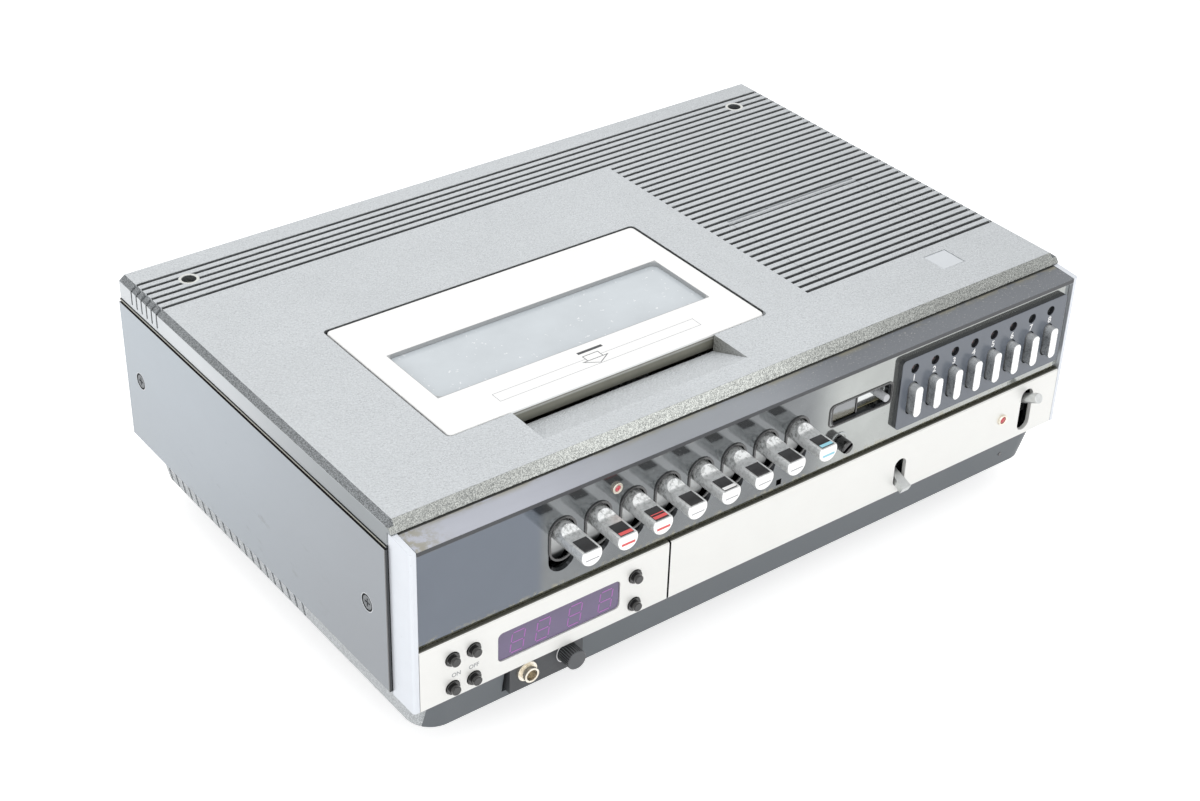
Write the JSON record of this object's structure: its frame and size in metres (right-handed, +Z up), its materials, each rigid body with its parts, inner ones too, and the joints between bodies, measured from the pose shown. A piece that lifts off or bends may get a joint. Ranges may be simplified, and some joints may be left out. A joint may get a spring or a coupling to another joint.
{
  "type": "video cassette recorder",
  "caption": "Top-loading video cassette recorder with a lift-up cassette lid, piano keys, channel buttons, clock panel and ribbed top grille.",
  "frame": {"origin": "centre of the overall box, on the floor", "axes": "+X to the machine's right as seen from the front, +Y to the back, +Z up"},
  "size_m": [0.453, 0.3144, 0.147],
  "materials": {
    "cover_plastic": "pebbled light silver grey",
    "lid_metal": "bright satin",
    "window_plastic": "clear, faint blue grey",
    "base_plastic": "dark grey, fine texture",
    "side_plastic": "dark, glossy",
    "trim_metal": "white silver",
    "ledge_plastic": "pale violet grey",
    "fascia_plastic": "dark, glossy",
    "plate_dark": "dark satin",
    "plate_metal": "satin",
    "display_plastic": "dark purple, glossy",
    "lamp_plastic": "red, translucent look",
    "socket_dark": "dark grey",
    "socket_metal": "bright",
    "rubber": "black",
    "screw_steel": "dark zinc",
    "chassis_steel": "zinc plated",
    "bright_steel": "polished",
    "rear_plastic": "dark",
    "core_steel": "dark",
    "tuner_plastic": "dark",
    "key_chrome": "chrome plated",
    "button_metal": "silver plated",
    "black_plastic": "black",
    "lever_plastic": "silver plated",
    "reset_plastic": "grey white",
    "counter_plastic": "black",
    "reel_plastic": "off white",
    "drum_metal": "machined",
    "flywheel_metal": "turned"
  },
  "bodies": {
    "case": {"base_tub": "base_plastic", "feet": "rubber", "left_side_panel": "side_plastic", "right_side_panel": "side_plastic", "case_screws": "screw_steel", "top_cover": "cover_plastic", "deck_chassis": "chassis_steel", "tape_path": "drum_metal", "front_fascia": "fascia_plastic", "channel_plate": "plate_dark", "clock_panel": "plate_metal", "selector_panel": "plate_metal", "clock_window": "display_plastic", "end_trims": "trim_metal", "front_ledge": "ledge_plastic", "indicator_lamps": "lamp_plastic", "socket_plate": "socket_dark", "mic_jack": "socket_metal", "rear_panel": "rear_plastic", "rear_sockets": "socket_metal", "power_unit": "core_steel", "tuner_unit": "tuner_plastic"},
    "lift_arm_outer": {"lift_arm_outer": "chassis_steel"},
    "lift_arm_inner": {"lift_arm_inner": "chassis_steel"},
    "carriage": {"cassette_carriage": "chassis_steel", "cassette_lid": "lid_metal", "lid_window": "window_plastic"},
    "tuning_hatch": {"tuning_hatch": "cover_plastic"},
    "supply_reel": {"supply_reel": "reel_plastic"},
    "take_up_reel": {"take_up_reel": "reel_plastic"},
    "head_drum": {"head_drum": "drum_metal"},
    "capstan_flywheel": {"capstan_flywheel": "flywheel_metal"},
    "counter_drums": {"counter_drums": "counter_plastic"},
    "record_selector_lever": {"record_selector_lever": "lever_plastic"},
    "mode_lever": {"mode_lever": "lever_plastic"},
    "tracking_knob": {"tracking_knob": "socket_dark"},
    "memory_switch": {"memory_switch": "black_plastic"},
    "counter_reset_button": {"counter_reset_button": "reset_plastic"},
    "eject_key": {"eject_key": "key_chrome"},
    "record_key": {"record_key": "key_chrome"},
    "audio_dub_key": {"audio_dub_key": "key_chrome"},
    "rewind_key": {"rewind_key": "key_chrome"},
    "play_key": {"play_key": "key_chrome"},
    "fast_forward_key": {"fast_forward_key": "key_chrome"},
    "stop_key": {"stop_key": "key_chrome"},
    "pause_key": {"pause_key": "key_chrome"},
    "channel_button_1": {"channel_button_1": "button_metal"},
    "channel_button_2": {"channel_button_2": "button_metal"},
    "channel_button_3": {"channel_button_3": "button_metal"},
    "channel_button_4": {"channel_button_4": "button_metal"},
    "channel_button_5": {"channel_button_5": "button_metal"},
    "channel_button_6": {"channel_button_6": "button_metal"},
    "channel_button_7": {"channel_button_7": "button_metal"},
    "channel_button_8": {"channel_button_8": "button_metal"},
    "clock_button": {"clock_button": "black_plastic"},
    "day_button": {"day_button": "black_plastic"},
    "timer_on_button": {"timer_on_button": "black_plastic"},
    "timer_off_button": {"timer_off_button": "black_plastic"},
    "hour_button": {"hour_button": "black_plastic"},
    "minute_button": {"minute_button": "black_plastic"}
  },
  "joints": [
    {"name": "lift_scissor", "type": "hinge", "parent": "case", "child": "lift_arm_outer", "pos_m": [-0.06, 0.0368, 0.09398], "axis": [-1, 0, 0], "range_deg": [0, 30]},
    {"name": "lift_cross_pivot", "type": "hinge", "parent": "lift_arm_outer", "child": "lift_arm_inner", "pos_m": [-0.06, -0.01024, 0.10059], "axis": [-1, 0, 0], "range_deg": [-60, 0]},
    {"name": "carriage_pivot", "type": "hinge", "parent": "lift_arm_inner", "child": "carriage", "pos_m": [-0.06, 0.0368, 0.1072], "axis": [-1, 0, 0], "range_deg": [0, 30]},
    {"name": "tuning_hatch_hinge", "type": "hinge", "parent": "case", "child": "tuning_hatch", "pos_m": [0.14105, 0.0156, 0.145], "axis": [-1, 0, 0], "range_deg": [0, 95]},
    {"name": "supply_reel_spin", "type": "hinge", "parent": "case", "child": "supply_reel", "pos_m": [-0.1062, -0.0312, 0.1], "axis": [0, 0, 1], "continuous": true},
    {"name": "take_up_reel_spin", "type": "hinge", "parent": "case", "child": "take_up_reel", "pos_m": [-0.0138, -0.0312, 0.1], "axis": [0, 0, 1], "continuous": true},
    {"name": "counter_drums_spin", "type": "hinge", "parent": "case", "child": "counter_drums", "pos_m": [0.05165, -0.1198, 0.1126], "axis": [1, 0, 0], "continuous": true},
    {"name": "head_drum_spin", "type": "hinge", "parent": "case", "child": "head_drum", "pos_m": [-0.06, 0.0808, 0.12], "axis": [0, 0, 1], "continuous": true},
    {"name": "capstan_spin", "type": "hinge", "parent": "case", "child": "capstan_flywheel", "pos_m": [0.02, 0.0548, 0.09], "axis": [0, 0, 1], "continuous": true},
    {"name": "record_selector_tilt", "type": "hinge", "parent": "case", "child": "record_selector_lever", "pos_m": [0.0968, -0.1242, 0.0557], "axis": [-1, 0, 0], "range_deg": [0, 52]},
    {"name": "mode_lever_tilt", "type": "hinge", "parent": "case", "child": "mode_lever", "pos_m": [0.1972, -0.1192, 0.05975], "axis": [1, 0, 0], "range_deg": [0, 53]},
    {"name": "tracking_turn", "type": "hinge", "parent": "case", "child": "tracking_knob", "pos_m": [-0.131, -0.1352, 0.0349], "axis": [0, -1, 0], "range_deg": [-150, 150]},
    {"name": "memory_turn", "type": "hinge", "parent": "case", "child": "memory_switch", "pos_m": [0.0485, -0.1352, 0.094], "axis": [0, -1, 0], "range_deg": [0, 70]},
    {"name": "counter_reset_press", "type": "slide", "parent": "case", "child": "counter_reset_button", "axis": [0, 1, 0], "range_m": [0, 0.0025], "stiffness_N_per_m": 150, "springref_m": -0.002},
    {"name": "eject_key_press", "type": "hinge", "parent": "case", "child": "eject_key", "pos_m": [-0.136, -0.0852, 0.112], "axis": [1, 0, 0], "range_deg": [0, 9], "stiffness_Nm_per_rad": 1.2, "springref_deg": -8.59},
    {"name": "record_key_press", "type": "hinge", "parent": "case", "child": "record_key", "pos_m": [-0.1142, -0.0852, 0.112], "axis": [1, 0, 0], "range_deg": [0, 9], "stiffness_Nm_per_rad": 1.2, "springref_deg": -8.59},
    {"name": "audio_dub_key_press", "type": "hinge", "parent": "case", "child": "audio_dub_key", "pos_m": [-0.0924, -0.0852, 0.112], "axis": [1, 0, 0], "range_deg": [0, 9], "stiffness_Nm_per_rad": 1.2, "springref_deg": -8.59},
    {"name": "rewind_key_press", "type": "hinge", "parent": "case", "child": "rewind_key", "pos_m": [-0.0706, -0.0852, 0.112], "axis": [1, 0, 0], "range_deg": [0, 9], "stiffness_Nm_per_rad": 1.2, "springref_deg": -8.59},
    {"name": "play_key_press", "type": "hinge", "parent": "case", "child": "play_key", "pos_m": [-0.0488, -0.0852, 0.112], "axis": [1, 0, 0], "range_deg": [0, 9], "stiffness_Nm_per_rad": 1.2, "springref_deg": -8.59},
    {"name": "fast_forward_key_press", "type": "hinge", "parent": "case", "child": "fast_forward_key", "pos_m": [-0.027, -0.0852, 0.112], "axis": [1, 0, 0], "range_deg": [0, 9], "stiffness_Nm_per_rad": 1.2, "springref_deg": -8.59},
    {"name": "stop_key_press", "type": "hinge", "parent": "case", "child": "stop_key", "pos_m": [-0.0052, -0.0852, 0.112], "axis": [1, 0, 0], "range_deg": [0, 9], "stiffness_Nm_per_rad": 1.2, "springref_deg": -8.59},
    {"name": "pause_key_press", "type": "hinge", "parent": "case", "child": "pause_key", "pos_m": [0.0166, -0.0852, 0.112], "axis": [1, 0, 0], "range_deg": [0, 9], "stiffness_Nm_per_rad": 1.2, "springref_deg": -8.59},
    {"name": "channel_button_1_press", "type": "slide", "parent": "case", "child": "channel_button_1", "axis": [0, 1, 0], "range_m": [0, 0.0035], "stiffness_N_per_m": 250, "springref_m": -0.002},
    {"name": "channel_button_2_press", "type": "slide", "parent": "case", "child": "channel_button_2", "axis": [0, 1, 0], "range_m": [0, 0.0035], "stiffness_N_per_m": 250, "springref_m": -0.002},
    {"name": "channel_button_3_press", "type": "slide", "parent": "case", "child": "channel_button_3", "axis": [0, 1, 0], "range_m": [0, 0.0035], "stiffness_N_per_m": 250, "springref_m": -0.002},
    {"name": "channel_button_4_press", "type": "slide", "parent": "case", "child": "channel_button_4", "axis": [0, 1, 0], "range_m": [0, 0.0035], "stiffness_N_per_m": 250, "springref_m": -0.002},
    {"name": "channel_button_5_press", "type": "slide", "parent": "case", "child": "channel_button_5", "axis": [0, 1, 0], "range_m": [0, 0.0035], "stiffness_N_per_m": 250, "springref_m": -0.002},
    {"name": "channel_button_6_press", "type": "slide", "parent": "case", "child": "channel_button_6", "axis": [0, 1, 0], "range_m": [0, 0.0035], "stiffness_N_per_m": 250, "springref_m": -0.002},
    {"name": "channel_button_7_press", "type": "slide", "parent": "case", "child": "channel_button_7", "axis": [0, 1, 0], "range_m": [0, 0.0035], "stiffness_N_per_m": 250, "springref_m": -0.002},
    {"name": "channel_button_8_press", "type": "slide", "parent": "case", "child": "channel_button_8", "axis": [0, 1, 0], "range_m": [0, 0.0035], "stiffness_N_per_m": 250, "springref_m": -0.002},
    {"name": "clock_button_press", "type": "slide", "parent": "case", "child": "clock_button", "axis": [0, 1, 0], "range_m": [0, 0.0015], "stiffness_N_per_m": 200, "springref_m": -0.002},
    {"name": "day_button_press", "type": "slide", "parent": "case", "child": "day_button", "axis": [0, 1, 0], "range_m": [0, 0.0015], "stiffness_N_per_m": 200, "springref_m": -0.002},
    {"name": "timer_on_button_press", "type": "slide", "parent": "case", "child": "timer_on_button", "axis": [0, 1, 0], "range_m": [0, 0.0015], "stiffness_N_per_m": 200, "springref_m": -0.002},
    {"name": "timer_off_button_press", "type": "slide", "parent": "case", "child": "timer_off_button", "axis": [0, 1, 0], "range_m": [0, 0.0015], "stiffness_N_per_m": 200, "springref_m": -0.002},
    {"name": "hour_button_press", "type": "slide", "parent": "case", "child": "hour_button", "axis": [0, 1, 0], "range_m": [0, 0.0015], "stiffness_N_per_m": 200, "springref_m": -0.002},
    {"name": "minute_button_press", "type": "slide", "parent": "case", "child": "minute_button", "axis": [0, 1, 0], "range_m": [0, 0.0015], "stiffness_N_per_m": 200, "springref_m": -0.002}
  ],
  "couplings": [
    {"joint": "lift_cross_pivot", "follows": "lift_scissor", "ratio": -2},
    {"joint": "carriage_pivot", "follows": "lift_scissor", "ratio": 1},
    {"joint": "counter_drums_spin", "follows": "take_up_reel_spin", "ratio": 0.5}
  ]
}
